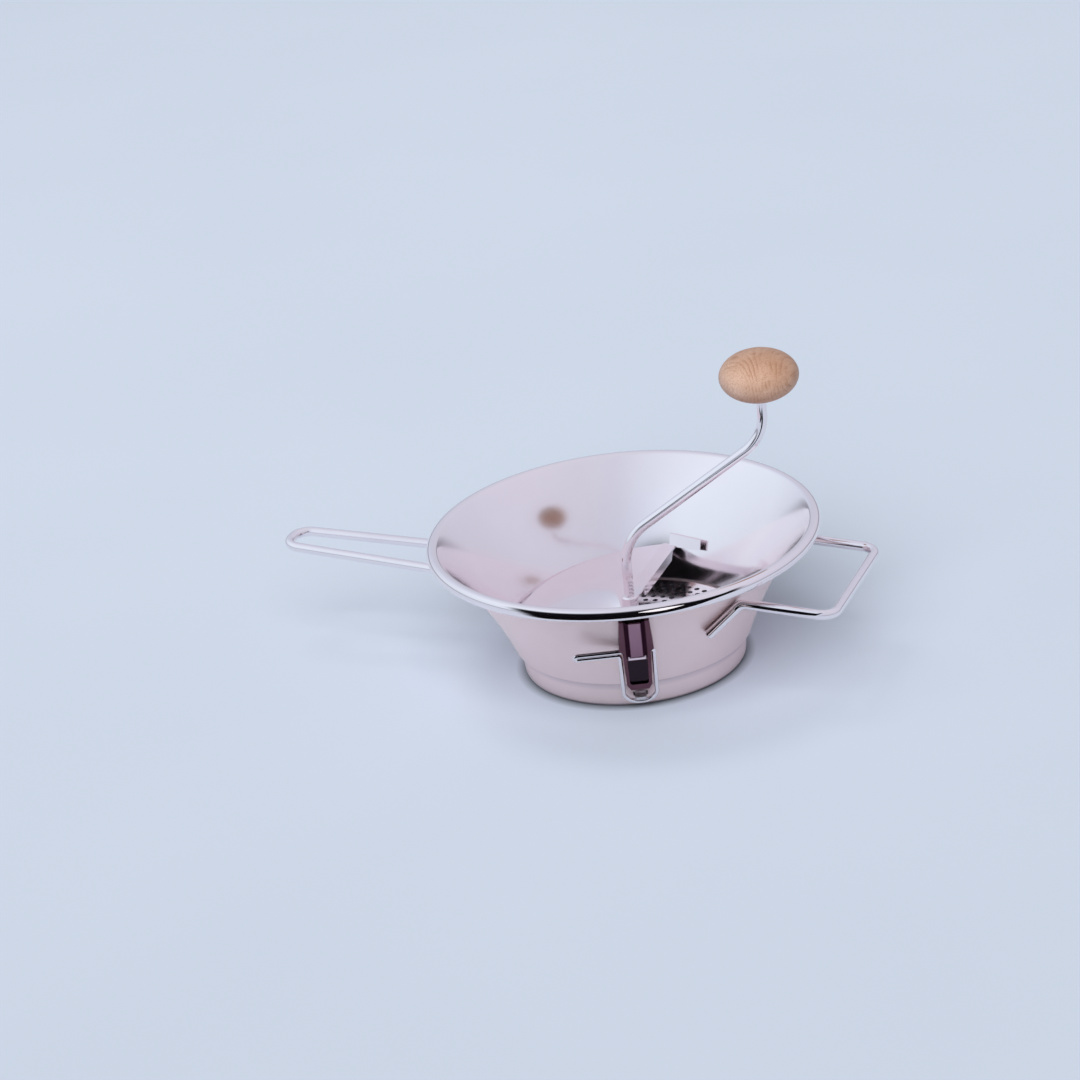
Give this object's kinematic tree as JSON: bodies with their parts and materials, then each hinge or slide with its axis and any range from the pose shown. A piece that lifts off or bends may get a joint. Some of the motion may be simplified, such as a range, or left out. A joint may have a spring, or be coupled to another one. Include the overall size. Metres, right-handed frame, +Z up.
{
  "type": "food mill",
  "caption": "Hand-cranked food mill: flared steel bowl, perforated disc, sprung sloping presser blade, bent crank with a wooden knob, wire handle, rest loop and wire latch.",
  "frame": {"origin": "on the crank's axis, at the plane that the bowl's base ring stands on", "axes": "+Z up along the crank's axis, +X towards the short rest loop, so -X along the long handle"},
  "size_m": [0.3746, 0.24, 0.1918],
  "materials": {
    "polished_steel": "mirror polished stainless steel sheet",
    "wire_steel": "bright drawn stainless steel wire and rod",
    "satin_steel": "satin stainless steel",
    "spring_steel": "bright spring wire",
    "beech": "turned beech, thinly varnished"
  },
  "bodies": {
    "mill_body": {"bowl": "polished_steel", "sieve_disc": "polished_steel", "disc_eyelet": "polished_steel", "long_handle": "wire_steel", "rest_loop": "wire_steel", "front_bracket": "polished_steel", "crossbar": "satin_steel", "crossbar_bush": "satin_steel", "rear_keeper": "polished_steel", "spring_seat": "satin_steel", "pressure_spring": "spring_steel"},
    "axle_float": {"spring_washer": "satin_steel"},
    "crank": {"crank_rod": "wire_steel", "blade_collar": "polished_steel", "collar_pin": "satin_steel", "axle_clip": "spring_steel", "presser_blade": "polished_steel", "knob_snap_ring": "spring_steel"},
    "knob_grip": {"knob": "beech", "knob_sleeve": "satin_steel"},
    "latch": {"latch_bail": "wire_steel"}
  },
  "joints": [
    {"name": "blade_float", "type": "slide", "parent": "mill_body", "child": "axle_float", "axis": [0, 0, 1], "range_m": [0, 0.002], "stiffness_N_per_m": 800, "springref_m": -0.004, "deforming": ["pressure_spring"]},
    {"name": "crank_turn", "type": "hinge", "parent": "axle_float", "child": "crank", "pos_m": [0, 0, 0], "axis": [0, 0, 1], "continuous": true},
    {"name": "knob_spin", "type": "hinge", "parent": "crank", "child": "knob_grip", "pos_m": [0.08385, 0.03269, 0.17], "axis": [0, 0, 1], "continuous": true},
    {"name": "latch_swing", "type": "hinge", "parent": "mill_body", "child": "latch", "pos_m": [0.03465, -0.08407, 0.0476], "axis": [-0.9245, -0.3811, 0], "range_deg": [0, 75]}
  ]
}
